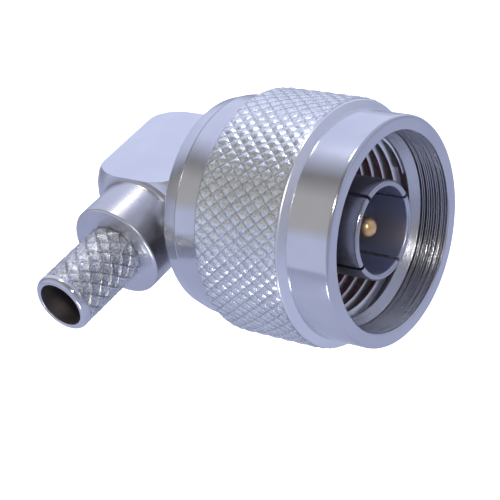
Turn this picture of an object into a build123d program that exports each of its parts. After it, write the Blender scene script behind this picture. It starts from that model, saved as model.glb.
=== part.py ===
from build123d import *
import os
from math import cos, radians, sin, sqrt

# A right-angle coaxial plug: a knurled coupling nut turns on the front shell, and a body milled from square
# bar carries the crimp stem for the cable.
# X is the mating axis and points out of the nut's mouth, the cable leaves along -Y, and +Z is up.
# The origin is the centre of the nut's front face.
# Every size is in millimetres.

# Fits
RUNNING_CLEARANCE = 0.05  # radial, nut on shank
PRESS_CLEARANCE = 0.005  # radial, between pieces that are pressed together
RING_CLEARANCE = 0.05  # round the retaining ring in the shank's groove
NUT_FLOAT = 0.15  # axial play of the nut on the retaining ring, each way

# Centre contact
PIN_DIAMETER = 1.65
PIN_LENGTH = 5.2
PIN_RECESS = 1.0  # tip of the pin behind the outer contact's mating end
PIN_TIP_ROUND = 0.5
CONTACT_DIAMETER = 3.0
CONTACT_TAPER = 0.7
CONTACT_TAIL = 1.2  # past the cable's axis
SOLDER_SLOT_WIDTH = 1.4
SOLDER_SLOT_DEPTH = 2.2

# Outer contact, a slotted spring sleeve
MATING_SETBACK = 1.0  # mating end behind the nut's front face
OUTER_CONTACT_BORE = 7.0
OUTER_CONTACT_WALL = 0.55
OUTER_CONTACT_REACH = 10.0  # from the shank's front face to the mating end
OUTER_CONTACT_ROOT = 3.0  # length pressed into the shell
OUTER_CONTACT_LAND = 0.25  # root's step above the sleeve
OUTER_CONTACT_ROUND = 0.2
SLOT_COUNT = 4
SLOT_WIDTH = 0.32
SLOT_LENGTH = 7.6
SLOT_TURN = 12.0  # degrees from +Y towards +Z

# Insulator
INSULATOR_WALL = 1.4  # round the contact, behind the step
INSULATOR_RECESS = 8.2  # front face behind the mating end
INSULATOR_TAIL = 0.6  # past the shell's spigot
INSULATOR_EDGE = 0.3

# Front shell
SHANK_WALL = 2.2  # outside the outer contact's root
SPIGOT_WALL = 0.9
SPIGOT_LENGTH = 2.0
SHELL_EDGE = 0.25

# Retaining ring
RING_WIDTH = 1.0
RING_BITE = 0.7  # depth of the ring in the shank's groove
RING_STAND = 0.7  # height of the ring above the shank
RING_GAP_ANGLE = 35.0
RING_SETBACK = 2.9  # middle of the ring in front of the nut's rear face
NUT_GROOVE_ROOM = 0.3

# Gasket
GASKET_THICKNESS = 1.2
GASKET_EDGE = 0.2

# Coupling nut
THREAD_BORE = 14.84
THREAD_HEIGHT = 0.53
THREAD_LENGTH = 5.6
LEAD_ROOM = 0.15  # counterbore outside the thread's crests
COUNTERBORE_DEPTH = 2.75
LEAD_IN = 0.65
MOUTH_CHAMFER = 0.12
SHOULDER_ROOM = 0.3  # nut's inner shoulder behind the shank's front face
FRONT_BAND_WALL = 1.25
FRONT_BAND_LENGTH = 3.9
FRONT_BAND_EDGE = 0.3
KNURL_HEIGHT = 0.9  # crests above the front band
KNURL_LENGTH = 8.5
KNURL_BEVEL = 0.3  # smooth strip at each end of the knurl
KNURL_COUNT = 58
KNURL_ROWS = 6
KNURL_DEPTH = 0.35
KNURL_STEP = 0.1  # grooves above the blank
KNURL_GAP = 0.05  # blank's bevel to the ring of diamonds
REAR_BAND_DROP = 0.75  # below the knurl's crests
REAR_BAND_LENGTH = 2.5
REAR_BAND_TAPER = 0.2
REAR_CONE_LENGTH = 1.6
REAR_CONE_DROP = 0.35
REAR_EDGE = 0.3

# Elbow body
BODY_GAP = 1.4  # nut's rear face to the block
BAR_WALL = 0.7  # outside the spigot's bore
BAR_EDGE = 0.15
CHAMBER_STEP = 0.6
NEAR_WALL = 1.4  # chamber to the neck's face
FAR_WALL = 2.4
TURNED_EDGE = 0.35  # the turned end face reaches this far past the bar's flats
TURNED_SLOPES = (60, 40, 20)  # cones that round the bar's corners at the end faces, to the cable's axis
NECK_STEP = 0.25  # neck below the bar's flats
NECK_LENGTH = 4.2
NECK_EDGE = 0.2
CABLE_BORE = 4.0
STEM_WALL = 0.6
STEM_LENGTH = 7.4
STEM_ROUND = 0.25
STEM_CHAMFER = 0.2
STEM_RIM = 0.75  # smooth end of the stem
STEM_KNURL_COUNT = 12
STEM_KNURL_ROWS = 5
STEM_KNURL_DEPTH = 0.2
STEM_KNURL_FLAT = 0.65  # share of each diamond that keeps the turned surface
STEM_KNURL_STEP = 0.1  # grooves above the blank
STEM_KNURL_SINK = 0.05  # ring of diamonds into the neck and the rim

# Access cap
CAP_SEAT = 0.4
CAP_THICKNESS = 1.2
CAP_PROUD = 0.25
CAP_EDGE = 0.2

# Radii that follow from these
pin_r = PIN_DIAMETER / 2
contact_r = CONTACT_DIAMETER / 2
sleeve_bore_r = OUTER_CONTACT_BORE / 2
sleeve_r = sleeve_bore_r + OUTER_CONTACT_WALL
root_r = sleeve_r + OUTER_CONTACT_LAND
insulator_r = contact_r + INSULATOR_WALL
spigot_r = insulator_r + SPIGOT_WALL
shank_r = root_r + SHANK_WALL
ring_inner_r = shank_r - RING_BITE
ring_outer_r = shank_r + RING_STAND
thread_r = THREAD_BORE / 2
relief_r = thread_r + THREAD_HEIGHT + LEAD_ROOM
front_band_r = relief_r + FRONT_BAND_WALL
knurl_r = front_band_r + KNURL_HEIGHT
knurl_blank_r = knurl_r - KNURL_DEPTH - KNURL_STEP
rear_band_r = knurl_r - REAR_BAND_DROP
rear_cone_r = rear_band_r - REAR_BAND_TAPER
rear_edge_r = rear_cone_r - REAR_CONE_DROP
nut_bore_r = shank_r + RUNNING_CLEARANCE
bar = 2 * (spigot_r + BAR_WALL)
chamber_r = spigot_r - CHAMBER_STEP
cap_r = chamber_r + CAP_SEAT
neck_r = bar / 2 - NECK_STEP
cable_r = CABLE_BORE / 2
stem_r = cable_r + STEM_WALL
stem_blank_r = stem_r - STEM_KNURL_DEPTH - STEM_KNURL_STEP

# Places along the mating axis
nut_front = 0.0
mating_end = nut_front - MATING_SETBACK
knurl_front = nut_front - FRONT_BAND_LENGTH
knurl_rear = knurl_front - KNURL_LENGTH
rear_cone = knurl_rear - REAR_BAND_LENGTH
nut_rear = rear_cone - REAR_CONE_LENGTH
thread_front = nut_front - COUNTERBORE_DEPTH - LEAD_IN
thread_rear = thread_front - THREAD_LENGTH
shank_front = mating_end - OUTER_CONTACT_REACH
gasket_front = shank_front + GASKET_THICKNESS
nut_shoulder = shank_front - SHOULDER_ROOM
ring_middle = nut_rear + RING_SETBACK
block_front = nut_rear - BODY_GAP
cable_x = block_front - bar / 2
block_back = cable_x - bar / 2
spigot_rear = block_front - SPIGOT_LENGTH
sleeve_root = shank_front - OUTER_CONTACT_ROOT
pin_tip = mating_end - PIN_RECESS
pin_root = pin_tip - PIN_LENGTH
contact_rear = cable_x - CONTACT_TAIL

# Places along the cable's axis, as distances from the mating axis
near_face = chamber_r + NEAR_WALL
far_face = chamber_r + FAR_WALL
neck_end = near_face + NECK_LENGTH
stem_end = neck_end + STEM_LENGTH
stem_rim = stem_end - STEM_RIM


def turned(*points):
    """A solid turned about the mating axis from a closed profile of (x, radius) points."""
    return revolve(make_face(Polyline(*points, close=True)), Axis.X)


def turned_on_cable(*points):
    """A solid turned about the cable's axis from a closed profile of (radius, distance) points."""
    profile = make_face(Polyline(*[(radius, -distance) for radius, distance in points], close=True))
    return Pos(cable_x, 0, 0) * revolve(profile, Axis.Y)


def tube(front, rear, outer, inner):
    """A plain tube on the mating axis."""
    return turned((front, inner), (front, outer), (rear, outer), (rear, inner))


def diamond_knurl(front, rear, crest, depth, count, rows, flat=0):
    """A ring of pyramids on the mating axis, pointed or flat on top, between two crossing sets of grooves."""
    half = (front - rear) / (2 * rows)
    root = crest - depth

    def at(row, step, radius):
        """The point of a row and a step, each of them half a diamond."""
        return Vector(front - row * half, radius, 0).rotate(Axis.X, step * 180 / count)

    def facet(*corners):
        """A flat face of three or more corners."""
        return Face(Wire.make_polygon(corners))

    facets = []
    for row in range(2 * rows + 1):
        for step in range(1 - row % 2, 2 * count, 2):
            left, right = at(row, step - 1, root), at(row, step + 1, root)
            if row == 0:
                facets.append(facet(left, right, at(row + 1, step, root)))
            elif row == 2 * rows:
                facets.append(facet(left, right, at(row - 1, step, root)))
            else:
                rim = [left, at(row - 1, step, root), right, at(row + 1, step, root)]
                top = [at(row, step - flat, crest), at(row - flat, step, crest)]
                top += [at(row, step + flat, crest), at(row + flat, step, crest)]
                facets += [facet(rim[side - 1], rim[side], top[side]) for side in range(4)]
                if flat:
                    facets += [facet(rim[side - 1], top[side], top[side - 1]) for side in range(4)]
                    facets += [facet(top[0], top[1], top[3]), facet(top[1], top[2], top[3])]
    for row in (0, 2 * rows):
        facets.append(facet(*[at(row, step, root) for step in range(0, 2 * count, 2)]))
    return Solid(Shell(facets))


def coupling_nut():
    """The nut: mouth, thread bore and ring groove inside, front band, knurl and rear cone outside."""
    diamonds_front = knurl_front - KNURL_BEVEL
    diamonds_rear = knurl_rear + KNURL_BEVEL
    blank = turned(
        (nut_front, 0),
        (nut_front, front_band_r - FRONT_BAND_EDGE),
        (nut_front - FRONT_BAND_EDGE, front_band_r),
        (knurl_front, front_band_r),
        (diamonds_front + KNURL_GAP, knurl_blank_r),
        (diamonds_rear - KNURL_GAP, knurl_blank_r),
        (knurl_rear, rear_band_r),
        (rear_cone, rear_cone_r),
        (nut_rear + REAR_EDGE, rear_edge_r),
        (nut_rear, rear_edge_r - REAR_EDGE),
        (nut_rear, 0),
    )
    diamonds = diamond_knurl(diamonds_front, diamonds_rear, knurl_r, KNURL_DEPTH, KNURL_COUNT, KNURL_ROWS)
    groove_r = ring_outer_r + NUT_GROOVE_ROOM
    groove_half = RING_WIDTH / 2 + NUT_FLOAT
    inside = turned(
        (nut_front, 0),
        (nut_front, relief_r + MOUTH_CHAMFER),
        (nut_front - MOUTH_CHAMFER, relief_r),
        (thread_front + LEAD_IN, relief_r),
        (thread_front, thread_r),
        (thread_rear, thread_r),
        (thread_rear, relief_r),
        (nut_shoulder, relief_r),
        (nut_shoulder, nut_bore_r),
        (ring_middle + groove_half, nut_bore_r),
        (ring_middle + groove_half, groove_r),
        (ring_middle - groove_half, groove_r),
        (ring_middle - groove_half, nut_bore_r),
        (nut_rear + REAR_EDGE, nut_bore_r),
        (nut_rear, nut_bore_r + REAR_EDGE),
        (nut_rear, 0),
    )
    return blank + diamonds - inside


def retaining_ring():
    """The split ring that sits in the shank's groove and holds the nut."""
    half = RING_WIDTH / 2
    ring = tube(ring_middle + half, ring_middle - half, ring_outer_r, ring_inner_r)
    reach = 2 * ring_outer_r
    opening = make_face(
        Polyline(
            (0, 0),
            (Vector(reach, 0).rotate(Axis.Z, -RING_GAP_ANGLE / 2)),
            (Vector(reach, 0).rotate(Axis.Z, RING_GAP_ANGLE / 2)),
            close=True,
        )
    )
    wedge = extrude(Plane.YZ * opening, amount=reach, both=True)
    return ring - wedge


def gasket():
    """The soft ring on the shank's front face, round the outer contact."""
    ring = tube(gasket_front, shank_front, shank_r, root_r + PRESS_CLEARANCE)
    return chamfer(ring.edges().group_by(Axis.X)[-1], GASKET_EDGE)


def front_shell():
    """The shank that the nut turns on, with its ring groove and the spigot that enters the body."""
    groove_half = RING_WIDTH / 2 + RING_CLEARANCE
    groove_r = ring_inner_r - RING_CLEARANCE
    seat_r = root_r + PRESS_CLEARANCE
    bore_r = insulator_r + PRESS_CLEARANCE
    return turned(
        (shank_front, seat_r),
        (shank_front, shank_r - SHELL_EDGE),
        (shank_front - SHELL_EDGE, shank_r),
        (ring_middle + groove_half, shank_r),
        (ring_middle + groove_half, groove_r),
        (ring_middle - groove_half, groove_r),
        (ring_middle - groove_half, shank_r),
        (block_front, shank_r),
        (block_front, spigot_r),
        (spigot_rear + SHELL_EDGE, spigot_r),
        (spigot_rear, spigot_r - SHELL_EDGE),
        (spigot_rear, bore_r),
        (sleeve_root, bore_r),
        (sleeve_root, seat_r),
    )


def outer_contact():
    """The spring sleeve: a rounded mating end cut into fingers by the slots."""
    sleeve = turned(
        (mating_end, sleeve_bore_r),
        (mating_end, sleeve_r),
        (gasket_front, sleeve_r),
        (gasket_front, root_r),
        (sleeve_root, root_r),
        (sleeve_root, sleeve_bore_r),
    )
    sleeve = fillet(sleeve.edges().group_by(Axis.X)[-1], OUTER_CONTACT_ROUND)
    slot = Pos(mating_end - SLOT_LENGTH / 2, sleeve_r, 0) * Box(SLOT_LENGTH, 2 * sleeve_r, SLOT_WIDTH)
    for turn in range(SLOT_COUNT):
        sleeve -= Rot(SLOT_TURN + turn * 360 / SLOT_COUNT, 0, 0) * slot
    return sleeve


def insulator():
    """The stepped insulator that holds the centre contact in the sleeve and in the shell."""
    front_r = sleeve_bore_r - PRESS_CLEARANCE
    bore_r = contact_r + PRESS_CLEARANCE
    front = mating_end - INSULATOR_RECESS
    rear = spigot_rear - INSULATOR_TAIL
    return turned(
        (front, bore_r),
        (front, front_r - INSULATOR_EDGE),
        (front - INSULATOR_EDGE, front_r),
        (sleeve_root, front_r),
        (sleeve_root, insulator_r),
        (rear + INSULATOR_EDGE, insulator_r),
        (rear, insulator_r - INSULATOR_EDGE),
        (rear, bore_r),
    )


def centre_contact():
    """The pin, its thicker body and the slot at the rear that takes the cable's conductor."""
    contact = turned(
        (pin_tip, 0),
        (pin_tip, pin_r),
        (pin_root, pin_r),
        (pin_root - CONTACT_TAPER, contact_r),
        (contact_rear, contact_r),
        (contact_rear, 0),
    )
    contact = fillet(contact.edges().group_by(Axis.X)[-1], PIN_TIP_ROUND)
    slot = Box(SOLDER_SLOT_DEPTH, 2 * CONTACT_DIAMETER, SOLDER_SLOT_WIDTH)
    return contact - Pos(contact_rear + SOLDER_SLOT_DEPTH / 2, 0, 0) * slot


def elbow_body():
    """The block from square bar, its ends turned, with the neck and the hollow crimp stem on the cable's axis."""
    face_r = bar / 2 + TURNED_EDGE
    slopes = [radians(slope) for slope in TURNED_SLOPES]
    step = (bar / sqrt(2) - face_r) / sum(sin(slope) for slope in slopes)
    rounding = [(face_r, 0)]
    for slope in slopes:
        radius, depth = rounding[-1]
        rounding.append((radius + step * sin(slope), depth + step * cos(slope)))
    block = Pos(cable_x, (far_face - near_face) / 2, 0) * Box(bar, far_face + near_face, bar)
    block = chamfer(block.edges().filter_by(Axis.Y), BAR_EDGE)
    block &= turned_on_cable(
        (0, near_face),
        *[(radius, near_face - depth) for radius, depth in rounding],
        *[(radius, depth - far_face) for radius, depth in reversed(rounding)],
        (0, -far_face),
    )
    stem = turned_on_cable(
        (0, 0),
        (neck_r, 0),
        (neck_r, neck_end - NECK_EDGE),
        (neck_r - NECK_EDGE, neck_end),
        (stem_blank_r, neck_end),
        (stem_blank_r, stem_rim),
        (stem_r, stem_rim),
        (stem_r, stem_end),
        (0, stem_end),
    )
    stem = fillet(stem.edges().group_by(Axis.Y)[0], STEM_ROUND)
    diamonds = diamond_knurl(
        stem_rim + STEM_KNURL_SINK,
        neck_end - STEM_KNURL_SINK,
        stem_r,
        STEM_KNURL_DEPTH,
        STEM_KNURL_COUNT,
        STEM_KNURL_ROWS,
        STEM_KNURL_FLAT,
    )
    stem += Pos(cable_x, 0, 0) * Rot(0, 0, -90) * diamonds
    cable_bore = turned_on_cable(
        (0, 0),
        (cable_r, 0),
        (cable_r, stem_end - STEM_CHAMFER),
        (cable_r + STEM_CHAMFER, stem_end),
        (0, stem_end),
    )
    cross_bore = turned(
        (block_front, 0),
        (block_front, spigot_r + PRESS_CLEARANCE),
        (spigot_rear, spigot_r + PRESS_CLEARANCE),
        (spigot_rear, chamber_r),
        (block_back + CAP_THICKNESS, chamber_r),
        (block_back + CAP_THICKNESS, cap_r + PRESS_CLEARANCE),
        (block_back, cap_r + PRESS_CLEARANCE),
        (block_back, 0),
    )
    return block + stem - cable_bore - cross_bore


def access_cap():
    """The disc pressed into the back of the body, over the soldered joint."""
    rear = block_back - CAP_PROUD
    return turned(
        (block_back + CAP_THICKNESS, 0),
        (block_back + CAP_THICKNESS, cap_r),
        (rear + CAP_EDGE, cap_r),
        (rear, cap_r - CAP_EDGE),
        (rear, 0),
    )


PIECES = (
    coupling_nut,
    retaining_ring,
    gasket,
    front_shell,
    outer_contact,
    insulator,
    centre_contact,
    elbow_body,
    access_cap,
)

os.makedirs("parts", exist_ok=True)
for piece in PIECES:
    export_step(piece(), f"parts/{piece.__name__}.step")
print("cable axis", round(cable_x, 3), "stem end", round(-stem_end, 3), "bar", round(bar, 3))
print("nut", nut_rear, "to", nut_front, "knurl diameter", 2 * knurl_r, "mouth", 2 * relief_r)
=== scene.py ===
"""A right-angle coaxial plug with a knurled coupling nut, dressed and lit on a pale studio floor."""

import logging
import math
from dataclasses import dataclass, replace
from enum import Enum
from typing import Iterable, Sequence

import bmesh
import bpy
from mathutils import Matrix, Vector


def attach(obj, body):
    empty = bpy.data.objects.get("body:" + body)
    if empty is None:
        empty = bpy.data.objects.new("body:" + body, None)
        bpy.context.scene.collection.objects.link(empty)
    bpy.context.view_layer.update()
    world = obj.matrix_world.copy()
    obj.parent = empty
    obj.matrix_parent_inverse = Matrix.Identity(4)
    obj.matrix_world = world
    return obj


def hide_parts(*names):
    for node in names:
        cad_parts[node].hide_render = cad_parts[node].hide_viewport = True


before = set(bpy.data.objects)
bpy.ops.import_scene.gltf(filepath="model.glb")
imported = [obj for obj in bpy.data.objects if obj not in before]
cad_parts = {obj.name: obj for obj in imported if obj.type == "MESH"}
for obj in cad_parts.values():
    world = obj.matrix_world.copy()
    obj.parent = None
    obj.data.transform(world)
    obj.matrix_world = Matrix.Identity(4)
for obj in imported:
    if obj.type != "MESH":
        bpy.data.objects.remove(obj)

LOG = logging.getLogger("plug")
MM = 0.001
FULL_TURN = 2 * math.pi
SMOOTH_ANGLE = math.radians(28)
DOME_ANGLE = math.radians(50)
WELD = 1e-7
SAME_ANGLE = 1e-4
PARALLEL = 0.9
ROUND_SEGMENTS = 5
EDGE_SEGMENTS = 2
ZONE_SLACK = 0.05
WAVER = 0.00002
CLOUD_SIZE = 220.0
SPECK_RANGE = (0.42, 0.62)
SPECK_SHADE = 0.2

Triple = tuple[float, float, float]


class Body(Enum):
    """The bodies of the part that a piece can ride on."""

    PLUG = "plug_body"
    NUT = "nut"


class Slot(Enum):
    """The record's material slots."""

    NUT = "nut_nickel"
    BODY = "body_nickel"
    CONTACT = "contact_nickel"
    GOLD = "contact_gold"
    RING = "ring_bronze"
    INSULATOR = "insulator_white"
    GASKET = "gasket_red"


class Effect(Enum):
    """The shader node groups that several finishes share."""

    TURNING = "turning_marks"
    HAZE = "surface_haze"


class Tone(Enum):
    """The colours of the studio's light, linear."""

    NEUTRAL = (1.0, 1.0, 1.0)
    DAYLIGHT = (0.85, 0.92, 1.2)


@dataclass(frozen=True)
class Corner:
    """One corner of a turned outline.

    Args:
        along: place on the axis, in mm.
        radius: distance from the axis, in mm.
        soft: how far from the corner its rounding starts, in mm.
    """

    along: float
    radius: float
    soft: float = 0.0


@dataclass(frozen=True)
class Lathe:
    """Turns outlines about one axis of the part.

    Args:
        centre: a point of the axis, in mm.
        along: unit vector of the axis.
        out: unit vector square to the axis, in which outlines are drawn.
        steps: facets of a full turn.
    """

    centre: Triple
    along: Triple
    out: Triple
    steps: int = 192

    def point(self, along: float, radius: float) -> Vector:
        """Returns a point of the drawing plane in metres, from sizes in mm."""
        return (Vector(self.centre) + Vector(self.along) * along + Vector(self.out) * radius) * MM

    def along_of(self, place: Vector) -> float:
        """Returns where a place in metres lies on the axis, in mm."""
        return (place / MM - Vector(self.centre)).dot(Vector(self.along))

    def radius_of(self, place: Vector) -> float:
        """Returns the distance of a place in metres from the axis, in mm."""
        offset = place / MM - Vector(self.centre)
        return (offset - Vector(self.along) * offset.dot(Vector(self.along))).length

    def set_radius(self, vert: bmesh.types.BMVert, radius: float) -> None:
        """Moves a vertex square to the axis.

        Args:
            vert: the vertex, which lies off the axis.
            radius: its new distance from the axis, in mm.
        """
        offset = vert.co / MM - Vector(self.centre)
        along = Vector(self.along) * offset.dot(Vector(self.along))
        vert.co = (Vector(self.centre) + along + (offset - along).normalized() * radius) * MM

    def sweep(self, mesh: bmesh.types.BMesh, edges: Iterable[bmesh.types.BMEdge], steps: int = 0) -> None:
        """Spins edges through a full turn.

        Args:
            mesh: the mesh that holds the edges.
            edges: the edges to spin.
            steps: facets of the turn, or 0 for the lathe's own count.
        """
        edges = list(edges)
        verts = {vert for edge in edges for vert in edge.verts}
        bmesh.ops.spin(
            mesh,
            geom=[*verts, *edges],
            cent=Vector(self.centre) * MM,
            axis=Vector(self.along),
            dvec=(0, 0, 0),
            angle=FULL_TURN,
            steps=steps or self.steps,
            use_merge=True,
        )
        bmesh.ops.remove_doubles(mesh, verts=mesh.verts[:], dist=WELD)

    def outline(self, mesh: bmesh.types.BMesh, corners: Sequence[Corner]) -> list[bmesh.types.BMEdge]:
        """Draws a closed outline and rounds its soft corners.

        Args:
            mesh: the empty mesh to draw in.
            corners: the outline's corners in order.

        Returns:
            The outline's edges that lie off the axis.
        """
        verts = [mesh.verts.new(self.point(corner.along, corner.radius)) for corner in corners]
        mesh.faces.new(verts)
        for soft in sorted({corner.soft for corner in corners} - {0.0}):
            bmesh.ops.bevel(
                mesh,
                geom=[vert for vert, corner in zip(verts, corners) if corner.soft == soft],
                offset=soft * MM,
                offset_type="OFFSET",
                segments=ROUND_SEGMENTS,
                profile=0.5,
                affect="VERTICES",
                clamp_overlap=True,
                material=-1,
            )
        bmesh.ops.delete(mesh, geom=mesh.faces[:], context="FACES_ONLY")
        on_axis = [
            edge for edge in mesh.edges if all(self.radius_of(vert.co) < WELD / MM for vert in edge.verts)
        ]
        bmesh.ops.delete(mesh, geom=on_axis, context="EDGES")
        return mesh.edges[:]

    def turn(self, corners: Sequence[Corner]) -> bmesh.types.BMesh:
        """Turns a closed outline.

        Args:
            corners: the outline's corners in order.

        Returns:
            The turned solid's mesh, with its faces outwards.
        """
        mesh = bmesh.new()
        self.sweep(mesh, self.outline(mesh, corners))
        bmesh.ops.recalc_face_normals(mesh, faces=mesh.faces[:])
        return mesh


MATING_AXIS = Lathe(centre=(0, 0, 0), along=(1, 0, 0), out=(0, 1, 0))
CABLE_AXIS = Lathe(centre=(-22.4, 0, 0), along=(0, -1, 0), out=(1, 0, 0))


@dataclass(frozen=True)
class Ledge:
    """One step of a diamond's side on the way from its groove to its top.

    Args:
        width: how far the step goes inwards, in mm.
        rise: how far it goes up, in mm.
    """

    width: float
    rise: float


@dataclass(frozen=True)
class DiamondKnurl:
    """A ring of raised diamonds between two crossing sets of grooves.

    Args:
        lathe: the axis that the ring lies on.
        start: where the ring starts on the axis, in mm.
        end: where it ends.
        root: radius at the bottom of the grooves.
        crest: radius of the diamonds' tops.
        buried: radius of the ring's hidden inner wall.
        count: diamonds round the ring.
        rows: diamonds along it.
        ledges: the steps of each diamond's side, from the groove up.
        cuts: cuts across each top that follows the crest's cylinder, or 0 for pointed tops.
    """

    lathe: Lathe
    start: float
    end: float
    root: float
    crest: float
    buried: float
    count: int
    rows: int
    ledges: tuple[Ledge, ...]
    cuts: int = 0

    def diamonds(self, mesh: bmesh.types.BMesh) -> list[bmesh.types.BMFace]:
        """Spins a strip of squares, pokes them and dissolves the old edges, which leaves diamonds.

        Args:
            mesh: the empty mesh to build in.

        Returns:
            The diamonds, which are halves at the ring's two edges.
        """
        step = (self.end - self.start) / self.rows
        places = [self.start + row * step for row in range(self.rows + 1)]
        chain = [mesh.verts.new(self.lathe.point(place, self.root)) for place in places]
        edges = [mesh.edges.new(pair) for pair in zip(chain, chain[1:])]
        self.lathe.sweep(mesh, edges, self.count)
        squares = [edge for edge in mesh.edges if len(edge.link_faces) == 2]
        poked = bmesh.ops.poke(mesh, faces=mesh.faces[:])
        for vert in poked["verts"]:
            self.lathe.set_radius(vert, self.root)
        bmesh.ops.dissolve_edges(mesh, edges=squares, use_verts=False)
        middle = mesh.faces[:][0]
        outward = middle.calc_center_median() - Vector(self.lathe.centre) * MM
        outward -= Vector(self.lathe.along) * outward.dot(Vector(self.lathe.along))
        bmesh.ops.recalc_face_normals(mesh, faces=mesh.faces[:])
        if middle.normal.dot(outward) < 0:
            bmesh.ops.reverse_faces(mesh, faces=mesh.faces[:])
        return mesh.faces[:]

    def raise_faces(
        self, mesh: bmesh.types.BMesh, faces: list[bmesh.types.BMFace], ledges: Sequence[Ledge], crest: float
    ) -> None:
        """Raises faces in steps and crowns each with a point or with a piece of the crest's cylinder.

        Args:
            mesh: the ring's mesh.
            faces: the faces to raise.
            ledges: the steps of their sides.
            crest: radius of the tops, in mm.
        """
        for ledge in ledges:
            bmesh.ops.inset_individual(
                mesh, faces=faces, thickness=ledge.width * MM, depth=ledge.rise * MM, use_even_offset=True
            )
        if self.cuts:
            edges = list({edge for face in faces for edge in face.edges})
            bmesh.ops.subdivide_edges(mesh, edges=edges, cuts=self.cuts, use_grid_fill=True)
            halfway = (self.root + self.crest) / 2
            crown = [vert for vert in mesh.verts if self.lathe.radius_of(vert.co) > halfway]
        else:
            crown = bmesh.ops.poke(mesh, faces=faces)["verts"]
        for vert in crown:
            self.lathe.set_radius(vert, crest)

    def build(self) -> bmesh.types.BMesh:
        """Raises the diamonds and closes the ring on its inside.

        Returns:
            The ring's mesh.
        """
        mesh = bmesh.new()
        tops = self.diamonds(mesh)
        if self.cuts:
            self.raise_faces(mesh, tops, self.ledges, self.crest)
        else:
            halves = [face for face in tops if len(face.verts) == 3]
            wholes = [face for face in tops if len(face.verts) > 3]
            self.raise_faces(mesh, wholes, self.ledges, self.crest)
            half_crest = self.root + sum(ledge.rise for ledge in self.ledges)
            self.raise_faces(mesh, halves, self.ledges[:1], half_crest)
        rims = [edge for edge in mesh.edges if edge.is_boundary]
        walls = bmesh.ops.extrude_edge_only(mesh, edges=rims)
        inner = [item for item in walls["geom"] if isinstance(item, bmesh.types.BMVert)]
        for vert in inner:
            self.lathe.set_radius(vert, self.buried)
        bmesh.ops.bridge_loops(mesh, edges=[edge for edge in mesh.edges if edge.is_boundary])
        bmesh.ops.recalc_face_normals(mesh, faces=mesh.faces[:])
        return mesh


def find_node(tree: bpy.types.NodeTree, kind: str) -> bpy.types.Node:
    """Returns the first node of a kind in a tree."""
    return next(node for node in tree.nodes if node.type == kind)


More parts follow.
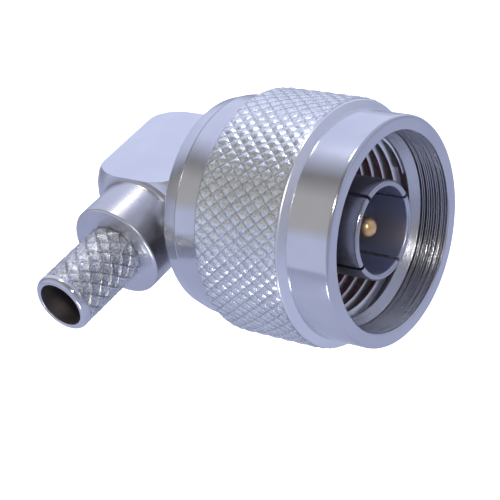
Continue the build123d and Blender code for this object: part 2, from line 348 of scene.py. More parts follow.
@dataclass(frozen=True)
class NodeGroups:
    """Builds the shader node groups that the finishes share.

    Args:
        ripple_scale: scale of the noise that makes the lathe lines waver.
        line_roughness: share of fine detail in the lathe lines.
        band_scale: scale of the slow bands.
        cloud_range: the noise at which a cloud starts and at which it is full.
    """

    ripple_scale: float = 260.0
    line_roughness: float = 0.7
    band_scale: float = 900.0
    cloud_range: tuple[float, float] = (0.3, 0.7)

    @staticmethod
    def group(effect: Effect, inputs: dict[str, str], outputs: dict[str, str]) -> bpy.types.ShaderNodeTree:
        """Makes an empty group with named sockets.

        Args:
            effect: the group's name.
            inputs: socket name to socket type.
            outputs: socket name to socket type.

        Returns:
            The new group.
        """
        tree = bpy.data.node_groups.new(effect.value, "ShaderNodeTree")
        for name, kind in inputs.items():
            tree.interface.new_socket(name, in_out="INPUT", socket_type=kind)
        for name, kind in outputs.items():
            tree.interface.new_socket(name, in_out="OUTPUT", socket_type=kind)
        return tree

    @classmethod
    def turning(cls) -> bpy.types.ShaderNodeTree:
        """Fine lathe lines: rings about the X axis of the position, on walls and on end faces alike.

        Returns:
            A group that puts out a height and a mask of slow bands.
        """
        number, vector = "NodeSocketFloat", "NodeSocketVector"
        inputs = {"Position": vector, "Lines": number, "Waver": number}
        tree = cls.group(Effect.TURNING, inputs, {"Height": number, "Band": number})
        nodes, links = tree.nodes, tree.links
        source, sink = nodes.new("NodeGroupInput"), nodes.new("NodeGroupOutput")
        split = nodes.new("ShaderNodeSeparateXYZ")
        links.new(source.outputs["Position"], split.inputs[0])
        flat = nodes.new("ShaderNodeCombineXYZ")
        links.new(split.outputs["Y"], flat.inputs["Y"])
        links.new(split.outputs["Z"], flat.inputs["Z"])
        radius = nodes.new("ShaderNodeVectorMath")
        radius.operation = "LENGTH"
        links.new(flat.outputs[0], radius.inputs[0])
        place = nodes.new("ShaderNodeMath")
        place.operation = "ADD"
        links.new(split.outputs["X"], place.inputs[0])
        links.new(radius.outputs["Value"], place.inputs[1])
        ripple = nodes.new("ShaderNodeTexNoise")
        ripple.inputs["Scale"].default_value = cls.ripple_scale
        ripple.inputs["Detail"].default_value = 2.0
        links.new(source.outputs["Position"], ripple.inputs["Vector"])
        drift = nodes.new("ShaderNodeMath")
        drift.operation = "MULTIPLY_ADD"
        links.new(ripple.outputs["Fac"], drift.inputs[0])
        links.new(source.outputs["Waver"], drift.inputs[1])
        links.new(place.outputs[0], drift.inputs[2])
        lines = nodes.new("ShaderNodeTexNoise")
        lines.noise_dimensions = "1D"
        lines.inputs["Detail"].default_value = 3.0
        lines.inputs["Roughness"].default_value = cls.line_roughness
        links.new(drift.outputs[0], lines.inputs["W"])
        links.new(source.outputs["Lines"], lines.inputs["Scale"])
        links.new(lines.outputs["Fac"], sink.inputs["Height"])
        slow = nodes.new("ShaderNodeTexNoise")
        slow.noise_dimensions = "1D"
        slow.inputs["Scale"].default_value = cls.band_scale
        slow.inputs["Detail"].default_value = 1.0
        links.new(drift.outputs[0], slow.inputs["W"])
        links.new(slow.outputs["Fac"], sink.inputs["Band"])
        return tree

    @classmethod
    def haze(cls) -> bpy.types.ShaderNodeTree:
        """Soft clouds and fine specks, as handling leaves them on plate.

        Returns:
            A group that puts out slow clouds and fine grain.
        """
        number, vector = "NodeSocketFloat", "NodeSocketVector"
        inputs = {"Position": vector, "Size": number, "Fine": number}
        tree = cls.group(Effect.HAZE, inputs, {"Cloud": number, "Grain": number})
        nodes, links = tree.nodes, tree.links
        source, sink = nodes.new("NodeGroupInput"), nodes.new("NodeGroupOutput")
        cloud = nodes.new("ShaderNodeTexNoise")
        cloud.inputs["Detail"].default_value = 4.0
        links.new(source.outputs["Position"], cloud.inputs["Vector"])
        links.new(source.outputs["Size"], cloud.inputs["Scale"])
        spread = nodes.new("ShaderNodeMapRange")
        spread.inputs["From Min"].default_value = cls.cloud_range[0]
        spread.inputs["From Max"].default_value = cls.cloud_range[1]
        links.new(cloud.outputs["Fac"], spread.inputs["Value"])
        links.new(spread.outputs["Result"], sink.inputs["Cloud"])
        finer = nodes.new("ShaderNodeMath")
        finer.operation = "MULTIPLY"
        links.new(source.outputs["Size"], finer.inputs[0])
        links.new(source.outputs["Fine"], finer.inputs[1])
        grain = nodes.new("ShaderNodeTexNoise")
        grain.inputs["Detail"].default_value = 2.0
        links.new(source.outputs["Position"], grain.inputs["Vector"])
        links.new(finer.outputs[0], grain.inputs["Scale"])
        links.new(grain.outputs["Fac"], sink.inputs["Grain"])
        return tree

    @classmethod
    def get(cls, effect: Effect) -> bpy.types.ShaderNodeTree:
        """Returns the group of an effect, built on its first use."""
        makers = {Effect.TURNING: cls.turning, Effect.HAZE: cls.haze}
        return bpy.data.node_groups.get(effect.value) or makers[effect]()


@dataclass(frozen=True)
class Finish:
    """A surface finish with lathe lines, clouds and grain.

    Args:
        name: the material's name.
        slot: the record's slot that it belongs to. Not used.
        colour: the main colour, linear.
        stain: the colour in the clouds.
        metallic: 1 for bare or plated metal.
        roughness: the lowest roughness.
        spread: how much the bands and clouds add to it.
        lines: lathe lines for each metre of noise.
        depth: depth of the lathe lines, in mm.
        grain: depth of the fine grain, in mm.
        fine: how much finer the grain is than the clouds.
        speckle: how much the grain darkens the colour.
        axis: the lathe that the lines follow.
    """

    name: str
    slot: Slot
    colour: Triple
    stain: Triple
    metallic: float = 1.0
    roughness: float = 0.22
    spread: float = 0.12
    lines: float = 9000.0
    depth: float = 0.004
    grain: float = 0.0
    fine: float = 14.0
    speckle: float = 0.0
    axis: Lathe = MATING_AXIS

    def position(self, tree: bpy.types.ShaderNodeTree) -> bpy.types.NodeSocket:
        """Finds the object's coordinates, turned so that the finish's axis is X.

        Args:
            tree: the material's nodes.

        Returns:
            The socket that gives the coordinates.
        """
        coordinate = tree.nodes.new("ShaderNodeTexCoord")
        if self.axis is MATING_AXIS:
            return coordinate.outputs["Object"]
        mapping = tree.nodes.new("ShaderNodeMapping")
        mapping.vector_type = "TEXTURE"
        mapping.inputs["Location"].default_value = Vector(self.axis.centre) * MM
        mapping.inputs["Rotation"].default_value = (0, 0, -math.pi / 2)
        tree.links.new(coordinate.outputs["Object"], mapping.inputs["Vector"])
        return mapping.outputs["Vector"]

    def tint(self, tree: bpy.types.ShaderNodeTree, haze: bpy.types.Node) -> bpy.types.NodeSocket:
        """Mixes the colour: clouds of the stain, then dark specks.

        Args:
            tree: the material's nodes.
            haze: the node of the clouds and the grain.

        Returns:
            The socket that gives the colour.
        """
        nodes, links = tree.nodes, tree.links
        tone, speck, shaded = (nodes.new(f"ShaderNode{kind}") for kind in ("Mix", "MapRange", "Mix"))
        tone.data_type, shaded.data_type = "RGBA", "RGBA"
        tone.inputs["A"].default_value = (*self.colour, 1)
        tone.inputs["B"].default_value = (*self.stain, 1)
        links.new(haze.outputs["Cloud"], tone.inputs["Factor"])
        speck.inputs["From Min"].default_value, speck.inputs["From Max"].default_value = SPECK_RANGE
        speck.inputs["To Max"].default_value = self.speckle
        links.new(haze.outputs["Grain"], speck.inputs["Value"])
        shaded.inputs["B"].default_value = (*(value * SPECK_SHADE for value in self.stain), 1)
        links.new(speck.outputs["Result"], shaded.inputs["Factor"])
        links.new(tone.outputs["Result"], shaded.inputs["A"])
        return shaded.outputs["Result"]

    def gloss(
        self, tree: bpy.types.ShaderNodeTree, turning: bpy.types.Node, haze: bpy.types.Node
    ) -> bpy.types.NodeSocket:
        """Varies the roughness with the slow bands and the clouds.

        Args:
            tree: the material's nodes.
            turning: the node of the lathe lines.
            haze: the node of the clouds and the grain.

        Returns:
            The socket that gives the roughness.
        """
        rough, mean = tree.nodes.new("ShaderNodeMapRange"), tree.nodes.new("ShaderNodeMath")
        rough.inputs["To Min"].default_value = self.roughness
        rough.inputs["To Max"].default_value = self.roughness + self.spread
        mean.operation = "MULTIPLY"
        tree.links.new(haze.outputs["Cloud"], mean.inputs[0])
        tree.links.new(turning.outputs["Band"], mean.inputs[1])
        tree.links.new(mean.outputs[0], rough.inputs["Value"])
        return rough.outputs["Result"]

    def relief(
        self, tree: bpy.types.ShaderNodeTree, turning: bpy.types.Node, haze: bpy.types.Node
    ) -> bpy.types.NodeSocket:
        """Raises the lathe lines and, where the finish has one, the grain.

        Args:
            tree: the material's nodes.
            turning: the node of the lathe lines.
            haze: the node of the clouds and the grain.

        Returns:
            The socket that gives the normal.
        """
        bump = tree.nodes.new("ShaderNodeBump")
        bump.inputs["Strength"].default_value = 1.0
        bump.inputs["Distance"].default_value = self.depth * MM
        tree.links.new(turning.outputs["Height"], bump.inputs["Height"])
        if not self.grain:
            return bump.outputs["Normal"]
        grain = tree.nodes.new("ShaderNodeBump")
        grain.inputs["Distance"].default_value = self.grain * MM
        tree.links.new(haze.outputs["Grain"], grain.inputs["Height"])
        tree.links.new(bump.outputs["Normal"], grain.inputs["Normal"])
        return grain.outputs["Normal"]

    def material(self) -> bpy.types.Material:
        """Builds the finish's material on its first use.

        Returns:
            The material.
        """
        made = bpy.data.materials.get(self.name)
        if made:
            return made
        made = bpy.data.materials.new(self.name)
        made.use_nodes = True
        tree = made.node_tree
        shader, place = find_node(tree, "BSDF_PRINCIPLED"), self.position(tree)
        turning, haze = (tree.nodes.new("ShaderNodeGroup") for _ in range(2))
        for node, effect in ((turning, Effect.TURNING), (haze, Effect.HAZE)):
            node.node_tree = NodeGroups.get(effect)
            tree.links.new(place, node.inputs["Position"])
        turning.inputs["Lines"].default_value = self.lines
        turning.inputs["Waver"].default_value = WAVER
        haze.inputs["Size"].default_value = CLOUD_SIZE
        haze.inputs["Fine"].default_value = self.fine
        shader.inputs["Metallic"].default_value = self.metallic
        tree.links.new(self.tint(tree, haze), shader.inputs["Base Color"])
        tree.links.new(self.gloss(tree, turning, haze), shader.inputs["Roughness"])
        tree.links.new(self.relief(tree, turning, haze), shader.inputs["Normal"])
        return made


NUT_NICKEL = Finish(
    "bright_nut_plate", Slot.NUT, (0.70, 0.70, 0.74), (0.64, 0.64, 0.69),
    roughness=0.11, spread=0.1, depth=0.0015,
)
MOUTH_NICKEL = Finish(
    "mouth_plate", Slot.NUT, (0.66, 0.66, 0.70), (0.54, 0.54, 0.59),
    roughness=0.2, spread=0.2, depth=0.016,
)
# Painted light: a brighter copy of the nut's nickel, so that the thread's ridges look lit deep in the mouth.
THREAD_LIT_NICKEL = Finish(
    "thread_painted_light_plate", Slot.NUT, (0.95, 0.95, 0.98), (0.86, 0.86, 0.90),
    roughness=0.22, spread=0.1, depth=0.004,
)
# Painted light: a brighter copy of the nut's nickel that paints a light line on the bevel in front of the
# knurl.
BEVEL_LIT_NICKEL = Finish(
    "bevel_painted_light_plate", Slot.NUT, (0.93, 0.93, 0.97), (0.86, 0.86, 0.91),
    roughness=0.3, spread=0.1, depth=0.004,
)
TURNED_NICKEL = Finish(
    "turned_band_plate", Slot.NUT, (0.70, 0.70, 0.74), (0.62, 0.62, 0.67),
    roughness=0.13, spread=0.14, depth=0.007,
)
# Painted shade: a dark copy of the nut's nickel for its rear face, which faces away from the light.
REAR_SHADE_NICKEL = Finish(
    "rear_face_painted_shade_plate", Slot.NUT, (0.34, 0.33, 0.34), (0.26, 0.25, 0.26),
    roughness=0.3, spread=0.15, depth=0.012,
)
# Painted light: the knurl's diamonds get a lighter copy of the nut's nickel; the grooves' plate below keeps
# the nut's own tone, with more grain.
KNURL_LIT_NICKEL = Finish(
    "knurl_painted_light_plate", Slot.NUT, (0.90, 0.91, 0.92), (0.80, 0.81, 0.83),
    roughness=0.21, spread=0.1, depth=0.0, grain=0.03, fine=24, speckle=0.3,
)
GROOVE_NICKEL = Finish(
    "knurl_groove_plate", Slot.NUT, (0.70, 0.71, 0.74), (0.58, 0.59, 0.62),
    roughness=0.34, spread=0.1, depth=0.0, grain=0.03, fine=24, speckle=0.4,
)
BODY_NICKEL = Finish(
    "bright_body_plate", Slot.BODY, (0.74, 0.74, 0.78), (0.68, 0.68, 0.73),
    roughness=0.1, spread=0.1, depth=0.001, axis=CABLE_AXIS,
)
STEM_NICKEL = Finish(
    "stem_plate", Slot.BODY, (0.86, 0.86, 0.89), (0.70, 0.70, 0.73),
    roughness=0.26, spread=0.2, depth=0.0, grain=0.07, fine=30, speckle=0.55, axis=CABLE_AXIS,
)
# Painted shade: a darker, browner copy of the body's nickel inside the cable bore.
BORE_SHADE_NICKEL = Finish(
    "stem_bore_painted_shade_plate", Slot.BODY, (0.52, 0.47, 0.46), (0.34, 0.30, 0.31),
    roughness=0.34, spread=0.2, depth=0.004, axis=CABLE_AXIS,
)
# Painted shade: a darker copy of the body's nickel on the neck, which mirrors the nut's shaded back.
NECK_SHADE_NICKEL = Finish(
    "neck_painted_shade_plate", Slot.BODY, (0.63, 0.62, 0.65), (0.53, 0.52, 0.55),
    roughness=0.26, spread=0.2, depth=0.006, axis=CABLE_AXIS,
)
FACE_NICKEL = Finish(
    "turned_face_plate", Slot.BODY, (0.70, 0.70, 0.74), (0.62, 0.62, 0.67),
    roughness=0.16, spread=0.1, depth=0.028, axis=CABLE_AXIS,
)
SHELL_NICKEL = Finish("shell_plate", Slot.BODY, (0.72, 0.72, 0.76), (0.66, 0.66, 0.71), roughness=0.18)
CONTACT_NICKEL = Finish("sleeve_plate", Slot.CONTACT, (0.57, 0.56, 0.60), (0.49, 0.48, 0.52), roughness=0.16)
# Painted reflection and light: a brighter, bluish copy of the sleeve's nickel on its bore, a blue reflection
# put into the colour.
SLEEVE_BORE_PAINTED_REFLECTION = Finish(
    "sleeve_bore_painted_reflection_plate", Slot.CONTACT, (0.66, 0.70, 0.86), (0.52, 0.56, 0.72),
    roughness=0.34, spread=0.15,
)
CONTACT_GOLD = Finish("pin_gold_plate", Slot.GOLD, (0.95, 0.64, 0.31), (0.85, 0.54, 0.24), roughness=0.28)
RING_BRONZE = Finish("bare_spring_bronze", Slot.RING, (0.55, 0.36, 0.20), (0.45, 0.28, 0.15), roughness=0.3)
INSULATOR_WHITE = Finish(
    "turned_white_plastic", Slot.INSULATOR, (0.82, 0.82, 0.80), (0.76, 0.76, 0.74),
    metallic=0.0, roughness=0.45, depth=0.006,
)
GASKET_RED = Finish(
    "red_silicone", Slot.GASKET, (0.30, 0.035, 0.03), (0.22, 0.025, 0.022),
    metallic=0.0, roughness=0.5, depth=0.0, grain=0.01,
)


@dataclass(frozen=True)
class Patch:
    """A finish of its own for the faces in one zone of a turned piece.

    Args:
        finish: the faces' finish.
        lathe: the piece's axis.
        radii: the zone's smallest and largest distance from the axis, in mm.
        span: the zone's start and end on the axis, in mm.
    """

    finish: Finish
    lathe: Lathe
    radii: tuple[float, float]
    span: tuple[float, float]

    def holds(self, place: Vector) -> bool:
        """Tells whether a place lies in the zone.

        Args:
            place: the place, in metres.

        Returns:
            True inside the zone.
        """
        low, high = self.radii
        start, end = self.span
        return low < self.lathe.radius_of(place) < high and start < self.lathe.along_of(place) < end

    def dress(self, data: bpy.types.Mesh) -> None:
        """Gives the zone's faces the finish.

        Args:
            data: the piece's mesh, which already has its main finish.
        """
        data.materials.append(self.finish.material())
        for face in data.polygons:
            if self.holds(face.center):
                face.material_index = len(data.materials) - 1


def add_piece(
    name: str,
    mesh: bmesh.types.BMesh,
    finish: Finish,
    body: Body,
    stands_for: Sequence[str] = (),
    smooth: float = SMOOTH_ANGLE,
    patches: Sequence[Patch] = (),
) -> bpy.types.Object:
    """Makes a finished object of a mesh and hangs it on its body.

    Args:
        name: the piece's name.
        mesh: its mesh in metres, which is freed.
        finish: the finish it gets.
        body: the body that it moves with.
        stands_for: the solids that it replaces.
        smooth: the sharpest bend that still looks smooth, in radians.
        patches: zones with a finish of their own.

    Returns:
        The new object.
    """
    data = bpy.data.meshes.new(name)
    mesh.to_mesh(data)
    mesh.free()
    data.polygons.foreach_set("use_smooth", [True] * len(data.polygons))
    data.set_sharp_from_angle(angle=smooth)
    data.materials.append(finish.material())
    for patch in patches:
        patch.dress(data)
    piece = bpy.data.objects.new(name, data)
    bpy.context.scene.collection.objects.link(piece)
    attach(piece, body.value)
    if stands_for:
        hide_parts(*stands_for)
    LOG.info("%s: %d faces, on %s", name, len(data.polygons), body.value)
    return piece


@dataclass
class CouplingNut:
    """The knurled nut with its mouth, thread and rear cone. Sizes are in mm."""

    length: float = 16.5
    mouth: float = 8.1
    mouth_chamfer: float = 0.12
    counterbore: float = 2.75
    tool_marks: tuple[float, ...] = (0.34, 0.55, 0.7, 0.98, 1.14, 1.4, 1.62, 1.84, 2.02, 2.3, 2.48)
    mark_half: float = 0.035
    lead_in: float = 0.65
    thread_crest: float = 7.42
    thread_root: float = 7.95
    thread_length: float = 5.6
    thread_pitch: float = 1.058
    thread_flat: float = 0.13
    thread_flank: float = 30.0
    thread_sunk: float = 0.06
    thread_gap: float = 0.02
    thread_lip: float = 0.12
    thread_steps: int = 96
    relief: float = 8.1
    shoulder: float = 11.3
    bore: float = 6.55
    front_band: float = 9.35
    front_length: float = 3.9
    front_bevel: float = 0.3
    bevel_ahead: float = 0.05
    front_land: float = 0.12
    knurl_crest: float = 10.25
    knurl_root: float = 10.12
    knurl_core: float = 9.8
    knurl_sunk: float = 0.2
    knurl_lap: float = 0.02
    knurl_length: float = 8.5
    knurl_bevel: float = 0.25
    knurl_wall: float = 0.06
    knurl_count: int = 58
    knurl_rows: int = 6
    knurl_ledges: tuple[Ledge, ...] = (Ledge(0.07, 0.03), Ledge(0.06, 0.025), Ledge(0.12, 0.035))
    groove_margin: float = 0.02
    rear_band: float = 9.5
    rear_length: float = 2.5
    cone_front: float = 9.3
    cone_rear: float = 8.88
    face_margin: float = 0.2
    score: float = 0.05
    root_soft: float = 0.02
    fine_soft: float = 0.03
    lip_soft: float = 0.04
    edge_soft: float = 0.05
    wall_soft: float = 0.06
    shoulder_soft: float = 0.1
    bevel_soft: float = 0.15
    bore_soft: float = 0.2
    rim_soft: float = 0.32

    @property
    def thread_front(self) -> float:
        """Returns where the thread's bore starts on the axis."""
        return -self.counterbore - self.lead_in

    @property
    def bevel_rear(self) -> float:
        """Returns where the bevel in front of the knurl ends on the axis."""
        return -self.front_length - self.front_bevel

    @property
    def knurl_rear(self) -> float:
        """Returns where the knurled part ends on the axis."""
        return -self.front_length - self.knurl_length

    def shell(self) -> bmesh.types.BMesh:
        """Turns the nut, with a plain core under the knurl.

        Returns:
            The nut's mesh.
        """
        thread_rear = self.thread_front - self.thread_length
        lip = self.thread_front - self.thread_lip
        land = self.knurl_root - self.knurl_lap
        land_rear = self.bevel_rear - 2 * self.front_land
        rear_edge = self.knurl_rear + self.knurl_bevel
        cone = self.knurl_rear - self.rear_length
        marks = [
            Corner(-mark + side * self.mark_half, self.mouth + (0 if side else self.mark_half))
            for mark in reversed(self.tool_marks)
            for side in (-1, 0, 1)
        ]
        return MATING_AXIS.turn(
            (
                Corner(-self.mouth_chamfer, self.mouth, self.fine_soft),
                Corner(0, self.mouth + self.mouth_chamfer, self.edge_soft),
                Corner(0, self.front_band, self.rim_soft),
                Corner(-self.front_length + self.bevel_ahead, self.front_band, self.fine_soft),
                Corner(self.bevel_rear, land, self.bevel_soft),
                Corner(land_rear, land),
                Corner(land_rear, self.knurl_core),
                Corner(rear_edge + self.knurl_wall, self.knurl_core),
                Corner(rear_edge, land, self.wall_soft),
                Corner(self.knurl_rear, self.knurl_root - self.knurl_bevel, self.fine_soft),
                Corner(self.knurl_rear, self.rear_band, self.root_soft),
                Corner(cone + self.score, self.cone_front),
                Corner(cone, self.cone_front - self.score),
                Corner(cone - self.score, self.cone_front),
                Corner(-self.length, self.cone_rear, self.rim_soft),
                Corner(-self.length, self.bore, self.bore_soft),
                Corner(-self.shoulder, self.bore, self.shoulder_soft),
                Corner(-self.shoulder, self.relief, self.shoulder_soft),
                Corner(thread_rear, self.relief, self.edge_soft),
                Corner(thread_rear, self.thread_root, self.edge_soft),
                Corner(lip, self.thread_root),
                Corner(lip, self.thread_crest, self.lip_soft),
                Corner(self.thread_front, self.thread_crest, self.edge_soft),
                Corner(self.thread_front + self.lead_in, self.mouth, self.edge_soft),
                *marks,
            )
        )

    def thread(self) -> bmesh.types.BMesh:
        """Spins a closed V section along a screw line, for the thread's ridge.

        Returns:
            The ridge's mesh, sunk a little into the nut's wall.
        """
        rise = self.thread_root - self.thread_crest
        base = self.thread_flat + (rise + self.thread_sunk) * math.tan(math.radians(self.thread_flank))
        front = self.thread_front - base - self.thread_gap
        foot = self.thread_root + self.thread_sunk
        turns = (self.thread_length - 2 * base) / self.thread_pitch
        steps = round(turns * self.thread_steps)
        mesh = bmesh.new()
        section = (
            (front + base, foot),
            (front + self.thread_flat, self.thread_crest),
            (front - self.thread_flat, self.thread_crest),
            (front - base, foot),
        )
        cap = mesh.faces.new([mesh.verts.new(MATING_AXIS.point(*corner)) for corner in section])
        bmesh.ops.spin(
            mesh,
            geom=[*cap.verts, *cap.edges, cap],
            cent=(0, 0, 0),
            axis=Vector(MATING_AXIS.along),
            dvec=Vector(MATING_AXIS.along) * (-self.thread_pitch * turns / steps * MM),
            angle=FULL_TURN * turns,
            steps=steps,
        )
        bmesh.ops.recalc_face_normals(mesh, faces=mesh.faces[:])
        return mesh

    def knurl(self) -> bmesh.types.BMesh:
        """Builds the ring of diamonds round the nut.

        Returns:
            The ring's mesh.
        """
        return DiamondKnurl(
            lathe=MATING_AXIS,
            start=self.bevel_rear - self.front_land,
            end=self.knurl_rear + self.knurl_bevel,
            root=self.knurl_root,
            crest=self.knurl_crest,
            buried=self.knurl_core - self.knurl_sunk,
            count=self.knurl_count,
            rows=self.knurl_rows,
            ledges=self.knurl_ledges,
        ).build()

    def build(self) -> None:
        """Builds and dresses the nut's pieces."""
        face_rim = self.cone_rear - self.face_margin
        face_front = -self.length + ZONE_SLACK
        inside = Patch(MOUTH_NICKEL, MATING_AXIS, (0, self.mouth + self.mark_half), (-self.shoulder, 0))
        # The rear face gets the dark plate: painted shade on the nut's back.
        rear = Patch(REAR_SHADE_NICKEL, MATING_AXIS, (0, face_rim), (-self.length - ZONE_SLACK, face_front))
        # The bevel in front of the knurl gets the brightened plate: a painted light line.
        bevel = Patch(
            BEVEL_LIT_NICKEL,
            MATING_AXIS,
            (self.front_band, self.knurl_root),
            (self.bevel_rear - self.front_land, -self.front_length + self.bevel_ahead),
        )
        band = Patch(
            TURNED_NICKEL, MATING_AXIS, (face_rim, self.rear_band + ZONE_SLACK), (face_front, self.knurl_rear)
        )
        zones = [inside, band, rear, bevel]
        add_piece("nut_shell", self.shell(), NUT_NICKEL, Body.NUT, ["coupling_nut"], patches=zones)
        groove_top = self.knurl_root + self.groove_margin
        grooves = Patch(GROOVE_NICKEL, MATING_AXIS, (0, groove_top), (-self.length, 0))
        # The diamonds get the lightened plate: painted light on the knurl.
        add_piece("nut_knurl", self.knurl(), KNURL_LIT_NICKEL, Body.NUT, smooth=DOME_ANGLE, patches=[grooves])
        # The thread gets the brightened plate: painted light inside the mouth.
        add_piece("nut_thread", self.thread(), THREAD_LIT_NICKEL, Body.NUT)


@dataclass
class FrontShell:
    """The shank that the nut turns on, its gasket and its retaining ring. Sizes are in mm."""

    front: float = -11.0
    rear: float = -17.9
    shank: float = 6.5
    bore: float = 4.305
    ring_middle: float = -13.6
    ring_groove: float = 5.75
    ring_half: float = 0.55
    spigot: float = 3.8
    spigot_rear: float = -19.9
    spigot_bore: float = 2.905
    seat: float = -14.0
    gasket_front: float = -9.8
    edge_soft: float = 0.05
    rear_soft: float = 0.1
    spigot_soft: float = 0.2
    front_soft: float = 0.25
    gasket_inner_soft: float = 0.2
    gasket_outer_soft: float = 0.3

    def shank_mesh(self) -> bmesh.types.BMesh:
        """Turns the shank with its ring groove and spigot.

        Returns:
            The shank's mesh.
        """
        groove_front, groove_rear = self.ring_middle + self.ring_half, self.ring_middle - self.ring_half
        return MATING_AXIS.turn(
            (
                Corner(self.front, self.bore),
                Corner(self.front, self.shank, self.front_soft),
                Corner(groove_front, self.shank, self.edge_soft),
                Corner(groove_front, self.ring_groove, self.edge_soft),
                Corner(groove_rear, self.ring_groove, self.edge_soft),
                Corner(groove_rear, self.shank, self.edge_soft),
                Corner(self.rear, self.shank, self.rear_soft),
                Corner(self.rear, self.spigot),
                Corner(self.spigot_rear, self.spigot, self.spigot_soft),
                Corner(self.spigot_rear, self.spigot_bore),
                Corner(self.seat, self.spigot_bore),
                Corner(self.seat, self.bore),
            )
        )

    def gasket_mesh(self) -> bmesh.types.BMesh:
        """Turns the soft ring on the shank's front face.

        Returns:
            The ring's mesh.
        """
        return MATING_AXIS.turn(
            (
                Corner(self.gasket_front, self.bore, self.gasket_inner_soft),
                Corner(self.gasket_front, self.shank, self.gasket_outer_soft),
                Corner(self.front, self.shank, self.edge_soft),
                Corner(self.front, self.bore, self.edge_soft),
            )
        )

    def build(self) -> None:
        """Builds and dresses the shell's pieces."""
        add_piece("shank", self.shank_mesh(), SHELL_NICKEL, Body.PLUG, ["front_shell"])
        add_piece("sealing_ring", self.gasket_mesh(), GASKET_RED, Body.PLUG, ["gasket"])
        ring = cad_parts["retaining_ring"]
        ring.data.materials.clear()
        ring.data.materials.append(RING_BRONZE.material())


